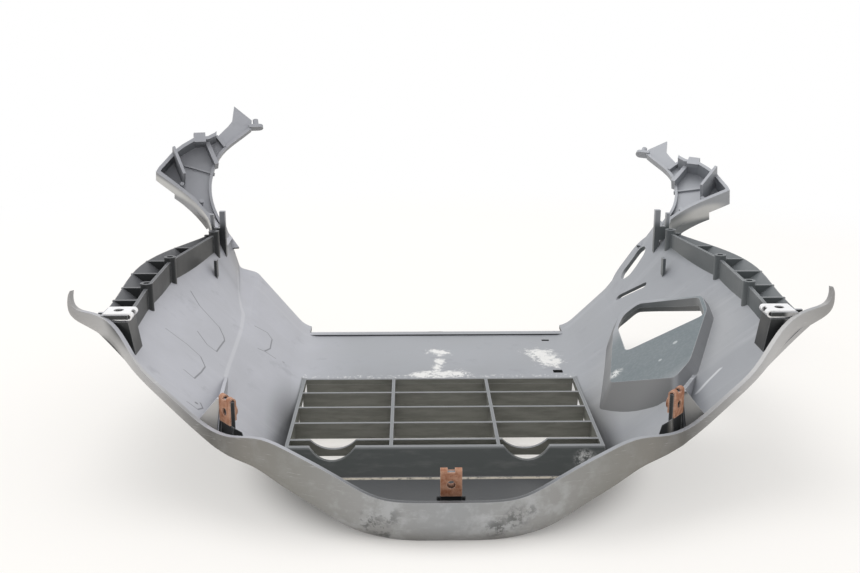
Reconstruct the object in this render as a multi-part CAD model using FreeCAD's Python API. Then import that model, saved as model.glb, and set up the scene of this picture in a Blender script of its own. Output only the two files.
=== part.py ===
import FreeCAD, Part
import math
import os

Vector = FreeCAD.Vector
os.makedirs("parts", exist_ok=True)

# Sizes in millimetres: X across the panel, Y towards the arms, Z up. Y starts at the grille's front edge.
wall = 2.8
rib = 2.2
# Half length of a cutter that goes right through a wall.
through = 25

# Tub: one row per station along Y, inside faces.
# y, floor height, floor half width, left crease foot and top, right crease foot and top, edge
tub_stations = [
    (-112, 2.8, 38, (106, 37), (127, 43), (106, 37), (127, 43), (206, 97)),
    (-60, 2.8, 47, (109, 37), (128, 42.5), (109, 37), (128, 42.5), (206, 97)),
    (-5, 3.4, 90, (126, 35), (134, 42), (126, 35), (134, 42), (206, 98)),
    (60, 9, 96, (131, 37), (140, 46), (131, 37), (140, 46), (206.5, 101)),
    (118, 16.5, 99, (134, 43), (143, 51), (134, 43), (143, 51), (207, 104)),
    (185, 18, 103, (139, 52), (149, 57), (137, 48), (149, 61), (187, 105)),
    (252, 18, 107, (146, 65), (160, 69), (138, 50), (155, 77), (171, 108)),
]
right_splay = 9
floor_blend = 9
crease_blend = 3

# Near lip and its horns.
lip_front = -85
lip_bow = 80
lip_bow_at = 203
lip_height_middle = 25
lip_height_side = 6
lip_narrowing = 122
horn_height = 11
horn_start = 180
lip_lean = 6.5
lip_bulge = 2.4
horn_reach = 18
horn_rise = 19

# Back flange of the floor.
bend_start = 236
bend_drop = 3.5
flange_y = 252
bend_overlap = 6
bend_corner = 3
bend_depth = 9
back_slot_near = (-3, 243, 18)
back_slot_far = (3, 243, 18)
back_slot_width = 6

# Louvred grille.
grille_half_width = 98
grille_depth = 124.5
grille_top = 18
slat_pitch = 27.8
slat_count = 5
first_slat = 11
slat_depth = 12
slat_set_back = 3.5
front_plate_reach = 12.5
divider_x = (-33, 33)
divider_depth = 10
notch_x = (-69, 50)
notch_radius = 18
notch_centre_z = 29

# Small holes in the floor behind the grille: middle, length across and width.
floor_holes = [(87, 216, 6, 4), (87, 138, 7, 5.5)]

# Raised vent pod and its hole in the right wall, plan outlines on the pod's sloping top.
pod_outline = [(112, 66), (142, 14), (153, 23), (177, 78), (180, 103), (150, 168), (136, 167), (127, 142)]
pod_low_height = 35
pod_slope = 0.73
pod_depth = 24
pod_flare = 12
pod_blend = 4
vent_outline = [(128, 97), (131, 146), (138, 161), (149, 163), (178, 104), (174, 72)]
vent_blend = 5

# Slots of the right rear corner.
oval_near = (164.5, 240, 81)
oval_far = (155, 238, 68.5)
oval_width = 16
oval_direction = (0.8, 0.05, -0.6)
rear_lobe = 13
rear_lobe_start = 246
slit_near = (159, 193, 68)
slit_far = (144, 212, 53.5)
slit_width = 6
slit_direction = (0.75, 0.1, -0.65)

# Rib racks along the side walls.
rack_rise = 3
rack_drop = 3
rack_start = 16
rack_start_inset = 16
boss_stations = ((68, 15), (130, 14), (208, 9.5))
boss_radius = 4
boss_hole_radius = 2.2
boss_hole_depth = 14
rack_foot = 50
fin_y = 181
fin_inset = {-1: 21, 1: 26}
fin_length = 6
fin_top = 92

# Clip nuts, their tongues and tabs.
tongue_thickness = 2.6
tongue_width = 11.4
tongue_set_back = 9
clip_sheet = 0.9
clip_clearance = 0.4
hole_clearance = 0.9
front_clip_width = 11.8
front_clip_length = 13.5
front_clip_hole = 2.3
tongue_root = 8
# Tongues: place across, height and turn about Z in degrees.
tongues = [(-127, 28, -52), (1, 36, 0), (132, 29, 52)]
web_reach = 18
web_thickness = 3
web_drop = 1.5
back_rib_end = {-1: (-140, 50), 1: (156, 20)}
side_tab_end = {-1: 185.6, 1: 191.8}
side_tab_y = 3
side_tab_top = 104
side_tab_length = 16
side_tab_width = 17
side_clip_width = 15
side_clip_length = 14.6
side_clip_hole = 2.9
post_plate = 2.4
post_draft = 5
post_foot = 68
stop_reach = 14

# Forked posts beside the arms.
fork_x = {-1: 167, 1: 173}
fork_y = 221
fork_base = 70
fork_top = 122
fork_width = 4.2
fork_depth = 4.5
fork_short_width = 2.6
fork_short_top = 119.5
fork_pitch = 8
fork_bridge = (98, 109)

# Arms: one outline in the arm's own plane, set back by a different lean on each side.
arm_root = {-1: (178, 240, 106), 1: (184.8, 245.2, 104.5)}
arm_lean = {-1: 35, 1: 56.3}
arm_turn = {-1: 15, 1: 21}
arm_roll = {-1: 0, 1: 6.2}
arm_depth = 16
arm_low_edge = [(-3.5, 8), (-14.5, 24.5), (-27, 37.3), (-40.8, 50.5)]
arm_high_edge = [(-38.2, 54.6), (-25.6, 68.5), (-17.6, 74.5), (-8.2, 80), (3, 81), (9, 84)]
arm_fin = [(21.9, 96.5), (25.6, 101), (28.8, 115.5), (42.2, 101.5), (41, 92)]
arm_arc = [(41, 92), (27, 81.5), (14.6, 70.4), (7.5, 58), (3.6, 45), (2.4, 33), (4, 20), (8, 8)]
arm_arc_flange = 6
arm_skirt = 8
arm_tab = (-8.2, 1.2, 76, 84.5)
arm_pins = ((-21, 40), (-7, 24))
hook_y = 93
hook_start_x = 39
hook_peg_height = 5.5
arm_peg_radius = 2.3
arm_pin_radius = 1.6
arm_pin_height = 12.5
hook_end_x = 47.5
hook_ledge_width = 7
tab_thickness = 4
# Ribs across the arm: start, end, thickness and height of the top edge.
arm_ribs = [
    ((-25.5, 68.5), (-19, 44), 2.2, 8),
    ((2, 80), (8.5, 58), 3.4, -5),
    ((11, 86), (17, 76), 2.2, -9),
    ((-17, 61), (6.5, 52), 1.6, -11.5),
]


def blended_path(points, blends, place):
    """Edges along a polyline whose inner corners are rounded by parabolic blends."""
    starts = [points[0]]
    edges = []
    for before, corner, after, blend in zip(points, points[1:-1], points[2:], blends):
        into = (Vector(*corner, 0) - Vector(*before, 0)).normalize()
        out = (Vector(*after, 0) - Vector(*corner, 0)).normalize()
        first = Vector(*corner, 0) - into * blend
        last = Vector(*corner, 0) + out * blend
        edges.append(Part.makeLine(place(*starts[-1]), place(first.x, first.y)))
        curve = Part.BezierCurve()
        curve.setPoles([place(first.x, first.y), place(*corner), place(last.x, last.y)])
        edges.append(curve.toShape())
        starts.append((last.x, last.y))
    edges.append(Part.makeLine(place(*starts[-1]), place(*points[-1])))
    return edges


def offset_points(points, distance):
    """Polyline moved sideways (to its right when positive) with mitred corners."""
    moved = []
    last = len(points) - 1
    for i, point in enumerate(points):
        sides = []
        if i > 0:
            sides.append((points[i - 1], point))
        if i < last:
            sides.append((point, points[i + 1]))
        normals = []
        for a, b in sides:
            length = math.hypot(b[0] - a[0], b[1] - a[1])
            normals.append(((b[1] - a[1]) / length, -(b[0] - a[0]) / length))
        nx = sum(n[0] for n in normals) / len(normals)
        ny = sum(n[1] for n in normals) / len(normals)
        scale = distance / (nx * nx + ny * ny)
        moved.append((point[0] + nx * scale, point[1] + ny * scale))
    return moved


def station_points(row):
    """Inside outline of one tub station from the left edge to the right edge."""
    y, floor, half, left_foot, left_top, right_foot, right_top, edge = row
    left = [(-edge[0], edge[1]), (-left_top[0], left_top[1]), (-left_foot[0], left_foot[1]), (-half, floor)]
    right = [(x + right_splay * (z / 100) ** 2, z) for x, z in (right_foot, right_top, edge)]
    return left + [(half, floor)] + right


def station_blends():
    return [crease_blend, crease_blend, floor_blend, floor_blend, crease_blend, crease_blend]


def tub_wire(row):
    y = row[0]
    inside = station_points(row)
    outside = offset_points(inside, wall)
    path = blended_path(inside, station_blends(), lambda x, z: Vector(x, y, z))
    back = blended_path(outside[::-1], station_blends(), lambda x, z: Vector(x, y, z))
    first = Part.makeLine(Vector(inside[-1][0], y, inside[-1][1]), Vector(outside[-1][0], y, outside[-1][1]))
    last = Part.makeLine(Vector(outside[0][0], y, outside[0][1]), Vector(inside[0][0], y, inside[0][1]))
    return Part.Wire(path + [first] + back + [last])


def room_wire(row):
    """Closed outline half a wall outside the tub's inside faces, open space above included."""
    y = row[0]
    points = offset_points(station_points(row), wall / 2)
    path = blended_path(points, station_blends(), lambda x, z: Vector(x, y, z))
    high = 170
    corners = [points[-1], (points[-1][0] + 2 * wall, high), (points[0][0] - 2 * wall, high), points[0]]
    rest = [
        Part.makeLine(Vector(a[0], y, a[1]), Vector(b[0], y, b[1])) for a, b in zip(corners, corners[1:])
    ]
    return Part.Wire(path + rest)


def inside_height(x, y):
    """Height of the tub's inside face at a place, straight between stations and corners."""
    def along(row):
        points = station_points(row)
        for a, b in zip(points, points[1:]):
            if a[0] <= x <= b[0]:
                return a[1] + (b[1] - a[1]) * (x - a[0]) / (b[0] - a[0])
        a, b = (points[0], points[1]) if x < 0 else (points[-1], points[-2])
        return a[1] + (b[1] - a[1]) * (x - a[0]) / (b[0] - a[0])

    for near, far in zip(tub_stations, tub_stations[1:]):
        if y <= far[0]:
            break
    share = (y - near[0]) / (far[0] - near[0])
    return along(near) * (1 - share) + along(far) * share


def edge_point(y):
    """Half width and height of the side wall's top edge at a station."""
    for near, far in zip(tub_stations, tub_stations[1:]):
        if y <= far[0]:
            break
    share = (y - near[0]) / (far[0] - near[0])
    return tuple(a * (1 - share) + b * share for a, b in zip(near[-1], far[-1]))


def lip_end(x):
    """Half width at which the lip turns into its horn."""
    return lip_bow_at + (right_splay if x > 0 else 0)


def lip_y(x):
    end = lip_end(x)
    if abs(x) > end:
        return lip_front + lip_bow + (abs(x) - end) * 0.2
    return lip_front + lip_bow * (x / end) ** 2


def box(x0, x1, y0, y1, z0, z1):
    return Part.makeBox(x1 - x0, y1 - y0, z1 - z0, Vector(x0, y0, z0))


def slab(points, direction):
    """Flat polygon in space pushed along a direction."""
    face = Part.Face(Part.makePolygon([Vector(*p) for p in points + points[:1]]))
    return face.extrude(Vector(*direction))


def lip_frame(x):
    """Foot point, along, up and outward directions of the near lip."""
    side = 1 if x > 0 else -1
    y = lip_y(x)
    reach = lip_end(x)
    if abs(x) > reach:
        z = inside_height(side * reach, y) - wall + horn_rise * ((abs(x) - reach) / horn_reach) ** 2
    else:
        z = max(inside_height(x, y) - wall, 0)
    step = 8
    near_x = max(step - reach, min(reach - step, x))
    rise = inside_height(near_x + step, y) - inside_height(near_x - step, y)
    slope = math.atan2(rise, 2 * step) * 0.75
    turn = 2 * lip_bow * near_x / reach ** 2
    along = Vector(1, turn, math.tan(slope)).normalize()
    up = Vector(-math.sin(slope), 0, math.cos(slope))
    out = Vector(turn, -1, 0).normalize()
    return Vector(x, y, z), along, up, out


def lip_height(x):
    share = math.exp(-((abs(x) / lip_narrowing) ** 8))
    tall = lip_height_side + (lip_height_middle - lip_height_side) * share
    beyond = (abs(x) - lip_end(x)) / horn_reach
    if beyond > 0:
        return horn_height * (1 - 0.35 * beyond)
    rising = max(0, min(1, (abs(x) - horn_start) / (lip_end(x) - horn_start)))
    return tall + (horn_height - lip_height_side) * rising


def lip_wire(x):
    foot, along, up, out = lip_frame(x)
    tall = lip_height(x)
    lean = lip_lean * tall / lip_height_middle
    outer_low = foot
    outer_mid = foot + up * (tall * 0.5) + out * (lean * 0.5 + lip_bulge * tall / lip_height_middle)
    outer_high = foot + up * tall + out * lean
    inner_high = outer_high - out * wall
    inner_mid = outer_mid - out * wall
    inner_low = outer_low - out * wall
    return Part.Wire([
        Part.Arc(outer_low, outer_mid, outer_high).toShape(),
        Part.makeLine(outer_high, inner_high),
        Part.Arc(inner_high, inner_mid, inner_low).toShape(),
        Part.makeLine(inner_low, outer_low),
    ])


def make_tub():
    shell = Part.makeLoft([tub_wire(row) for row in tub_stations], True, False)
    plan = [Vector(x, lip_y(x) + wall * 0.6, -5) for x in range(-240, 241, 40)]
    curve = Part.BSplineCurve()
    curve.interpolate(plan)
    far = [plan[-1], Vector(250, 252, -5), Vector(-250, 252, -5), plan[0]]
    rest = [Part.makeLine(a, b) for a, b in zip(far, far[1:])]
    keep = Part.Face(Part.Wire([curve.toShape()] + rest)).extrude(Vector(0, 0, 200))
    shell = shell.common(keep)
    half = tub_stations[-1][2] - 4
    return shell.cut(box(-half, half, bend_start, 260, -5, 40))


def make_room():
    return Part.makeLoft([room_wire(row) for row in tub_stations], True, False)


def make_lip():
    places = [30, 52, 72, 92, 108, 122, 140, 160, horn_start]
    horn = [0, horn_reach / 2, horn_reach]
    left = [-x for x in places + [lip_end(-1) + beyond for beyond in horn]]
    right = places + [lip_end(1) + beyond for beyond in horn]
    return Part.makeLoft([lip_wire(x) for x in left[::-1] + [0] + right], True, False)


def make_back_flange():
    half = tub_stations[-1][2] - 1
    top = tub_stations[-1][1]
    start = bend_start - bend_overlap
    corner = flange_y - bend_corner
    bend = [(bend_start, top), (corner, top - bend_drop), (flange_y, top - bend_depth)]
    centre = [(start, top)] + bend + [(flange_y, 0)]
    outer = offset_points(centre, wall)
    face = Part.Face(Part.makePolygon([Vector(-half, y, z) for y, z in centre + outer[::-1] + centre[:1]]))
    bent = face.extrude(Vector(2 * half, 0, 0))
    bent = bent.common(box(-half, half, start, flange_y + wall, 0, 2 * top))
    return bent.cut(slot_cutter(back_slot_near, back_slot_far, back_slot_width, (0, 0, 1), 2 * through))


def grille_side(inset, top):
    """Side outline of the grille box from its front plate to its back edge."""
    floor = [(row[0], row[1] - wall * 0.55) for row in tub_stations if -70 < row[0] < grille_depth]
    foot = -front_plate_reach
    return [(foot + inset, floor[0][1]), (inset, top), (grille_depth - inset, top)] + [
        (grille_depth - inset, floor[-1][1])
    ] + [point for point in floor[::-1] if foot + inset < point[0] < grille_depth - inset]


def grille_block(inset, top):
    points = grille_side(inset, top)
    half = grille_half_width - inset
    face = Part.Face(Part.makePolygon([Vector(-half, y, z) for y, z in points + points[:1]]))
    return face.extrude(Vector(2 * half, 0, 0))


def make_grille():
    frame = grille_block(0, grille_top)
    half = grille_half_width - rib
    window = slab(
        [
            (-half, rib * 1.3 - front_plate_reach * 1.9, -11),
            (-half, rib * 1.3 + front_plate_reach, 33),
            (-half, grille_depth - rib, 33),
            (-half, grille_depth - rib, -11),
        ],
        (2 * half, 0, 0),
    )
    pieces = []
    for i in range(slat_count):
        y = first_slat + slat_pitch * i
        foot = grille_top - slat_depth
        pieces.append(slab(
            [(-half - 1, y, grille_top), (-half - 1, y + rib, grille_top),
             (-half - 1, y + rib + slat_set_back, foot), (-half - 1, y + slat_set_back, foot)],
            (2 * half + 2, 0, 0),
        ))
    for x in divider_x:
        foot = grille_top - divider_depth
        pieces.append(box(x - rib / 2, x + rib / 2, -rib, grille_depth - rib / 2, foot, grille_top))
    grille = frame.cut(window)
    inner = window.common(box(-half - 2, half + 2, -40, grille_depth, -5, grille_top))
    room = inner.fuse(frame).fuse(box(-half, half, grille_depth - rib * 2, grille_depth + 8, 2, grille_top))
    grille = grille.multiFuse([piece.common(room) for piece in pieces])
    for x in notch_x:
        start = Vector(x, -through, notch_centre_z)
        grille = grille.cut(Part.makeCylinder(notch_radius, 2 * through, start, Vector(0, 1, 0)))
    return grille, window


def closed_blend(points, blend, place):
    """Closed wire through a polygon with rounded corners."""
    first, last = points[0], points[-1]
    middle = ((first[0] + last[0]) / 2, (first[1] + last[1]) / 2)
    return Part.Wire(blended_path([middle] + points + [middle], [blend] * len(points), place))


def pod_block(inset, drop):
    """Flared block under the pod's sloping top, shrunk and lowered for the hollow."""
    around = pod_outline[-1:] + pod_outline + pod_outline[:1]
    wires = []
    for grow, sink in ((-inset, drop), (pod_flare - inset, drop + pod_depth)):
        points = offset_points(around, grow)[1:-1]
        wires.append(closed_blend(points, pod_blend, lambda x, y: Vector(
            x, y, pod_low_height + pod_slope * (x - pod_outline[0][0]) - sink)))
    return Part.makeLoft(wires, True, True)


def vent_prism():
    outline = closed_blend(vent_outline, vent_blend, lambda x, y: Vector(x, y, 10))
    return Part.Face(outline).extrude(Vector(0, 0, 110))


def slot_cutter(near, far, width, direction, depth):
    """Obround block between two points, reaching half its depth to each side along a direction."""
    near, far, direction = Vector(*near), Vector(*far), Vector(*direction).normalize()
    along = (far - near).normalize()
    along = (along - direction * along.dot(direction)).normalize()
    side = direction.cross(along)
    start = near - direction * (depth / 2)
    reach = (far - near).dot(along)
    r = width / 2
    end = start + along * reach
    corners = [start + side * r, end + side * r, end - side * r, start - side * r]
    edges = [
        Part.makeLine(corners[0], corners[1]),
        Part.Arc(corners[1], end + along * r, corners[2]).toShape(),
        Part.makeLine(corners[2], corners[3]),
        Part.Arc(corners[3], start - along * r, corners[0]).toShape(),
    ]
    return Part.Face(Part.Wire(edges)).extrude(direction * depth)


def make_rear_lobe():
    """Rounded extension of the right wall behind the oval hole."""
    lobe = slot_cutter(oval_near, oval_far, oval_width + 2 * rear_lobe, oval_direction, wall)
    lobe.translate(Vector(*oval_direction) * (wall / 2))
    return lobe.common(box(0, edge_point(0)[0], rear_lobe_start, flange_y + 2 * rear_lobe, 0, oval_near[2] * 2))


def plate_between(a, b, z_low, z_high, thickness):
    """Upright plate between two plan points with its top at a height for each end."""
    a, b = Vector(a[0], a[1], 0), Vector(b[0], b[1], 0)
    side = Vector(0, 0, 1).cross((b - a).normalize()) * (thickness / 2)
    up_a, up_b = z_high
    return slab(
        [tuple(a - side + Vector(0, 0, z_low)), tuple(b - side + Vector(0, 0, z_low)),
         tuple(b - side + Vector(0, 0, up_b)), tuple(a - side + Vector(0, 0, up_a))],
        tuple(side * 2),
    )


def wall_edge(side, y, inset):
    """Plan point inside the top edge of one side wall, with the edge's height."""
    edge_x, edge_z = edge_point(y)
    return (side * (edge_x + (right_splay if side > 0 else 0) - inset), y), edge_z


def make_rack(side):
    """Inner rib, cross ribs and hollow bosses along one side wall."""
    solids = []
    holes = []
    start, start_z = wall_edge(side, rack_start, rack_start_inset)
    for y, inset in boss_stations:
        place, edge_z = wall_edge(side, y, inset)
        top = edge_z + rack_rise
        solids.append(plate_between(start, place, rack_foot, (start_z, top - rack_drop), rib))
        solids.append(Part.makeCylinder(boss_radius, top - rack_foot, Vector(*place, rack_foot)))
        hole_foot = Vector(*place, top - boss_hole_depth)
        holes.append(Part.makeCylinder(boss_hole_radius, boss_hole_depth, hole_foot))
        outside, edge_z = wall_edge(side, y, -wall)
        solids.append(plate_between(outside, place, rack_foot, (edge_z, top - rack_drop), rib))
        between = ((start[0] + place[0]) / 2, (start[1] + place[1]) / 2)
        outside, edge_z = wall_edge(side, between[1], -wall)
        solids.append(plate_between(outside, between, rack_foot, (edge_z, edge_z), rib))
        start, start_z = place, top - rack_drop
    fin = wall_edge(side, fin_y, fin_inset[side])[0]
    far = (fin[0], fin[1] + fin_length)
    solids.append(plate_between(fin, far, rack_foot, (fin_top, fin_top), rib))
    return solids, holes


def make_side_post(side):
    """Hollow post and flat tab that carry a side clip nut, with a stop rib to the wall."""
    x0 = side_tab_end[side]
    x1 = x0 + side_tab_length
    y0 = side_tab_y - side_tab_width / 2
    y1 = side_tab_y + side_tab_width / 2
    under = side_tab_top - tongue_thickness
    clear = under - clip_sheet - clip_clearance
    foot_x = x0 - post_draft
    tab = box(x0, x1, y0, y1, under, side_tab_top)
    inner_edge = [(foot_x, y0, post_foot), (x0, y0, clear)]
    near = slab(inner_edge + [(x1, y0, clear), (x1, y0, post_foot)], (0, post_plate, 0))
    back_edge = [(x0 + post_plate, y0, clear), (foot_x + post_plate, y0, post_foot)]
    cheek = slab(inner_edge + back_edge, (0, side_tab_width, 0))
    far_cheek = box(x1 - post_plate, x1, y0, y1, post_foot, under)
    stop = box(x1 - post_plate, x1 + stop_reach, y1 - rib, y1, post_foot, under)
    hole_foot = Vector(side_hole_x(side), side_tab_y, clear)
    hole = Part.makeCylinder(side_clip_hole + hole_clearance, side_tab_top, hole_foot)
    post = tab.multiFuse([near, cheek, far_cheek, stop]).cut(hole)
    if side < 0:
        return post.mirror(Vector(0, 0, 0), Vector(1, 0, 0))
    return post


def side_hole_x(side):
    """Distance of a side clip nut's hole from the middle plane."""
    return side_tab_end[side] + side_clip_length / 2


def clip_nut(width, length, gap, hole):
    """U-shaped clip nut: leaves along -X from the bend at x = 0, gap centred on z = 0, hole axis along Z."""
    outer = gap / 2 + clip_sheet
    upper = box(-length, 0, -width / 2, width / 2, gap / 2, outer)
    lower = box(-length * 0.82, 0, -width / 2, width / 2, -outer, -gap / 2)
    bend = Part.makeCylinder(outer, width, Vector(0, -width / 2, 0), Vector(0, 1, 0))
    bend = bend.cut(Part.makeCylinder(gap / 2, width + 2, Vector(0, -width / 2 - 1, 0), Vector(0, 1, 0)))
    bend = bend.common(box(0, outer + 1, -width, width, -outer - 1, outer + 1))
    window = box(0.2, outer + 1, -width * 0.17, width * 0.17, -outer - 1, outer + 1)
    centre = -length * 0.5
    collar = Part.makeCylinder(hole + 1.1, 2.2, Vector(centre, 0, -outer - 2.2))
    clip = upper.multiFuse([lower, bend.cut(window), collar])
    clip = clip.cut(Part.makeCylinder(hole, 30, Vector(centre, 0, -15)))
    return clip.removeSplitter()


def placed(shape, origin, x_axis, y_axis, z_axis):
    """Shape moved from its own axes to the given ones."""
    matrix = FreeCAD.Matrix(
        x_axis.x, y_axis.x, z_axis.x, origin.x,
        x_axis.y, y_axis.y, z_axis.y, origin.y,
        x_axis.z, y_axis.z, z_axis.z, origin.z,
        0, 0, 0, 1,
    )
    moved = shape.copy()
    moved.Placement = FreeCAD.Placement(matrix)
    return moved


def tongue_axes(x, turn):
    """Foot of a tongue behind the lip with its across and facing directions."""
    foot, along, up, out = lip_frame(x)
    angle = math.radians(turn)
    across = Vector(math.cos(angle), math.sin(angle), 0)
    facing = Vector(math.sin(angle), -math.cos(angle), 0)
    return foot - out * tongue_set_back, across, facing


def make_tongue(x, rise, turn):
    """Upright tongue behind the lip with a gusset at each side and a clearance hole."""
    foot, across, facing = tongue_axes(x, turn)
    half = tongue_width / 2
    hole_radius = front_clip_hole + hole_clearance
    flat = box(-half, half, -tongue_thickness / 2, tongue_thickness / 2, -tongue_root, rise)
    gusset_top = rise - front_clip_length - clip_clearance
    foot_corners = [(-4, -tongue_root), (9, -tongue_root)]
    gusset = foot_corners + [(4, gusset_top * 0.7), (-tongue_thickness / 2, gusset_top)]
    pieces = [slab([(edge, y, z) for y, z in gusset], (rib, 0, 0)) for edge in (-half - rib, half)]
    hole = Part.makeCylinder(
        hole_radius, tongue_width, Vector(0, -half, rise - front_clip_length / 2), Vector(0, 1, 0))
    tongue = placed(flat.multiFuse(pieces).cut(hole), foot, across, facing * -1, Vector(0, 0, 1))
    if turn == 0:
        return tongue
    side = 1 if x > 0 else -1
    return tongue.multiFuse(tongue_webs(foot + across * (side * (half + rib)), rise, side))


def tongue_webs(edge, rise, side):
    """Web from a tongue's outer edge to the side wall, and the rib that runs back from it."""
    top = rise - web_drop
    outline = [(0, top), (2, top), (web_reach, tongue_root), (5, -tongue_root)]
    corners = [tuple(edge + Vector(side * reach, -web_thickness / 2, z)) for reach, z in outline]
    web = slab(corners, (0, web_thickness, 0))
    end = back_rib_end[side]
    heights = (edge.z + top, inside_height(*end))
    return [web, plate_between((edge.x, edge.y), end, edge.z - 2 * tongue_root, heights, rib)]


def make_front_clip(x, rise, turn):
    foot, across, facing = tongue_axes(x, turn)
    up = Vector(0, 0, 1)
    clip = clip_nut(front_clip_width, front_clip_length, tongue_thickness, front_clip_hole)
    return placed(clip, foot + up * rise, up, across * -1, facing)


def make_side_clip(side):
    clip = clip_nut(side_clip_width, side_clip_length, tongue_thickness, side_clip_hole)
    origin = Vector(side * side_tab_end[side], side_tab_y, side_tab_top - tongue_thickness / 2)
    return placed(clip, origin, Vector(-side, 0, 0), Vector(0, -side, 0), Vector(0, 0, 1))


def make_fork(side):
    """Forked post that stands up beside the arm."""
    tall_x = fork_x[side]
    short_x = tall_x + fork_pitch
    y0, y1 = fork_y - fork_depth / 2, fork_y + fork_depth / 2
    low, high = fork_bridge
    half, short_half = fork_width / 2, fork_short_width / 2
    tall = box(tall_x - half, tall_x + half, y0, y1, fork_base, fork_top)
    short = box(short_x - short_half, short_x + short_half, y0, y1, fork_base, fork_short_top)
    bridge = box(tall_x, short_x, y0, y1, low, high)
    fork = tall.multiFuse([short, bridge])
    if side < 0:
        return fork.mirror(Vector(0, 0, 0), Vector(1, 0, 0))
    return fork


def arm_axes(side):
    """Directions along the arm's own outline axes and out of its plane, for the left hand."""
    lean, turn, roll = (math.radians(angle[side]) for angle in (arm_lean, arm_turn, arm_roll))
    level = Vector(math.cos(turn), math.sin(turn), 0)
    steep = Vector(-math.sin(lean) * math.sin(turn), math.sin(lean) * math.cos(turn), math.cos(lean))
    inward = level * math.cos(roll) + steep * math.sin(roll)
    up = steep * math.cos(roll) - level * math.sin(roll)
    return inward, up, inward.cross(up)


def arm_origin(side):
    x, y, z = arm_root[side]
    return Vector(-x, y, z)


def arm_prism(edges, low, high):
    return Part.Face(Part.Wire(edges)).extrude(Vector(0, 0, high - low)).translated(Vector(0, 0, low))


def spline(points):
    curve = Part.BSplineCurve()
    curve.interpolate([Vector(x, y, 0) for x, y in points])
    return curve.toShape()


def lines(points):
    return [Part.makeLine(Vector(*a, 0), Vector(*b, 0)) for a, b in zip(points, points[1:])]


def arm_band(points, thickness, low, high):
    """Thin wall that follows a curve of the arm's outline."""
    inner = offset_points(points, thickness)
    edges = [spline(points)] + lines([points[-1], inner[-1]])
    edges += [spline(inner[::-1])] + lines([inner[0], points[0]])
    return arm_prism(edges, low, high)


def arm_tray():
    """Plate of the arm with a deep rim along its outer edges."""
    foot = [(20, -14), (2, -14), arm_low_edge[0]]
    outline = [spline(arm_low_edge)]
    outline += lines([arm_low_edge[-1]] + arm_high_edge + arm_fin)
    outline += [spline(arm_arc)]
    outline += lines([arm_arc[-1]] + foot)
    block = arm_prism(outline, -arm_depth, 0)
    inner = offset_points([foot[1]] + arm_low_edge + arm_high_edge, wall)
    beyond = [(14, 140), (90, 140), (90, -40), (inner[0][0], -40)]
    return block.cut(arm_prism(lines(inner + beyond + inner[:1]), -arm_depth + wall, 1))


def arm_rib(start, end, thickness, top):
    ax, ay = start
    bx, by = end
    across = Vector(ay - by, bx - ax, 0).normalize() * (thickness / 2)
    a, b = Vector(ax, ay, 0), Vector(bx, by, 0)
    corners = [a - across, b - across, b + across, a + across, a - across]
    return arm_prism([Part.makeLine(p, q) for p, q in zip(corners, corners[1:])], -arm_depth + 1, top)


def arm_hook():
    """Rounded ledge with a peg at the tip of the arm."""
    middle = -arm_depth + hook_ledge_width / 2
    round_end = Vector(hook_end_x, hook_y, middle)
    peg_foot = Vector(hook_end_x - arm_peg_radius, hook_y + wall / 2, middle)
    along = Vector(0, 1, 0)
    return [
        box(hook_start_x, hook_end_x, hook_y, hook_y + wall, -arm_depth, -arm_depth + hook_ledge_width),
        Part.makeCylinder(hook_ledge_width / 2, wall, round_end, along),
        Part.makeCylinder(arm_peg_radius, hook_peg_height + wall / 2, peg_foot, along),
    ]


def make_arm(side):
    """Tray-like arm with a low flange along its arc, ribs, pins, a pointed fin and a hook."""
    pieces = [arm_band(arm_arc, rib, -arm_depth + 1, -arm_depth + arm_arc_flange)]
    pieces.append(arm_band(arm_low_edge[:3], wall, -arm_depth - arm_skirt, -arm_depth + 1))
    pieces += [arm_rib(*row) for row in arm_ribs]
    pieces.append(box(*arm_tab, -tab_thickness, 0))
    pieces += arm_hook()
    for x, y in arm_pins:
        pieces.append(Part.makeCylinder(arm_pin_radius, arm_pin_height, Vector(x, y, -arm_depth + 1)))
    arm = placed(arm_tray().multiFuse(pieces), arm_origin(side), *arm_axes(side))
    if side > 0:
        arm = arm.mirror(Vector(0, 0, 0), Vector(1, 0, 0))
    return arm


def make_neck(side):
    """Twisted bridge from the side wall to the foot of the arm."""
    inward, up, facing = arm_axes(side)
    root = arm_origin(side)

    def on_arm(x, y, z):
        return root + inward * x + up * y + facing * z

    edge_x, edge_z = tub_stations[-1][-1]
    edge_x = edge_x + (right_splay if side > 0 else 0)
    low = edge_z - 14
    bottom = [
        Vector(-edge_x + 1.5, 224, low), Vector(-edge_x + 6.5, 224, low),
        Vector(-edge_x + 6, 252, low), Vector(-edge_x + 1, 252, low),
    ]
    top = [
        on_arm(-3.2, 12, -1), on_arm(-0.6, 12, -1),
        on_arm(4, 12, -arm_depth + 0.2), on_arm(-3.2, 12, -arm_depth + 0.2),
    ]
    neck = Part.makeLoft([Part.makePolygon(q + q[:1]) for q in (bottom, top)], True, True)
    if side > 0:
        neck = neck.mirror(Vector(0, 0, 0), Vector(1, 0, 0))
    return neck


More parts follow.
